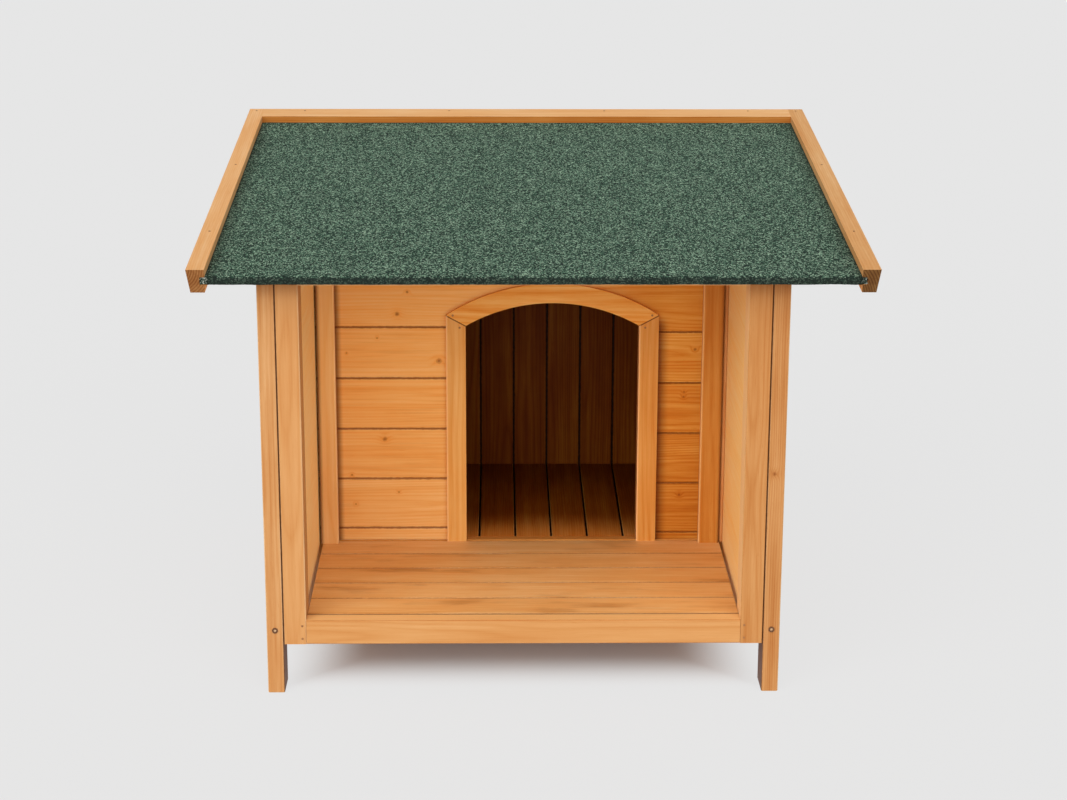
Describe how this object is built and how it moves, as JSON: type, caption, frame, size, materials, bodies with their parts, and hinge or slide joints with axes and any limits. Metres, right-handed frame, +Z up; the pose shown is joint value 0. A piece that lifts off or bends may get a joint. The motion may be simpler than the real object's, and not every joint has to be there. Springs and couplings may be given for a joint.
{
  "type": "dog house",
  "caption": "Wooden dog house on legs with a covered porch, a set-back boarded front wall with an arched doorway, a slatted floor and a felted lean-to roof that lifts at the front.",
  "frame": {"origin": "on the ground, under the middle of the roof", "axes": "+Z up; -Y towards the porch and the doorway, +Y towards the hinged back; +X to the right of someone facing the porch"},
  "size_m": [1.11, 1.037, 0.8543],
  "materials": {
    "frame_timber": "stained softwood, matt",
    "board_timber": "stained softwood, matt",
    "trim_timber": "stained softwood, matt",
    "panel_timber": "raw board",
    "mineral_felt": "dark green mineral granules",
    "plated_steel": "zinc plated"
  },
  "bodies": {
    "house": {"front_left_leg": "frame_timber", "front_right_leg": "frame_timber", "rear_left_leg": "frame_timber", "rear_right_leg": "frame_timber", "left_bottom_rail": "frame_timber", "right_bottom_rail": "frame_timber", "left_top_rail": "frame_timber", "right_top_rail": "frame_timber", "left_wall_battens": "frame_timber", "right_wall_battens": "frame_timber", "left_porch_post": "frame_timber", "right_porch_post": "frame_timber", "porch_fascia": "frame_timber", "porch_header": "frame_timber", "back_bottom_rail": "frame_timber", "back_top_rail": "frame_timber", "front_sill": "frame_timber", "front_wall_studs": "frame_timber", "front_top_rail": "frame_timber", "deck_bearers": "frame_timber", "floor_bearers": "frame_timber", "left_wall_boards": "board_timber", "right_wall_boards": "board_timber", "back_wall_boards": "board_timber", "front_wall_left_boards": "board_timber", "front_wall_right_boards": "board_timber", "deck_boards": "board_timber", "floor_boards": "board_timber", "left_corner_trim": "trim_timber", "right_corner_trim": "trim_timber", "right_corner_bead": "trim_timber", "left_door_jamb": "trim_timber", "right_door_jamb": "trim_timber", "door_arch": "trim_timber", "left_hinge_wall_leaf": "plated_steel", "right_hinge_wall_leaf": "plated_steel", "left_hinge_pin": "plated_steel", "right_hinge_pin": "plated_steel", "left_stay_bracket": "plated_steel", "right_stay_bracket": "plated_steel", "leg_screws": "plated_steel", "hinge_wall_screws": "plated_steel", "stay_bracket_screws": "plated_steel", "trim_nails": "plated_steel"},
    "roof": {"roof_panel": "panel_timber", "roof_felt": "mineral_felt", "left_roof_rail": "frame_timber", "right_roof_rail": "frame_timber", "rear_roof_rail": "frame_timber", "roof_battens": "frame_timber", "left_hinge_roof_leaf": "plated_steel", "right_hinge_roof_leaf": "plated_steel", "left_stay_track": "plated_steel", "right_stay_track": "plated_steel", "roof_screws": "plated_steel", "roof_rail_nails": "plated_steel"},
    "left_stay": {"left_stay_arm": "plated_steel", "left_stay_nut": "plated_steel"},
    "right_stay": {"right_stay_arm": "plated_steel", "right_stay_nut": "plated_steel"}
  },
  "joints": [
    {"name": "roof_hinge", "type": "hinge", "parent": "house", "child": "roof", "pos_m": [0, 0.4528, 0.81536], "axis": [-1, 0, 0], "range_deg": [0, 60]},
    {"name": "left_stay_pivot", "type": "hinge", "parent": "house", "child": "left_stay", "pos_m": [-0.37, 0.2538, 0.7969], "axis": [-1, 0, 0], "range_deg": [0, 121]},
    {"name": "right_stay_pivot", "type": "hinge", "parent": "house", "child": "right_stay", "pos_m": [0.37, 0.2538, 0.7969], "axis": [-1, 0, 0], "range_deg": [0, 121]}
  ],
  "couplings": [
    {"joint": "left_stay_pivot", "follows": "roof_hinge", "ratio": 2},
    {"joint": "right_stay_pivot", "follows": "roof_hinge", "ratio": 2}
  ]
}
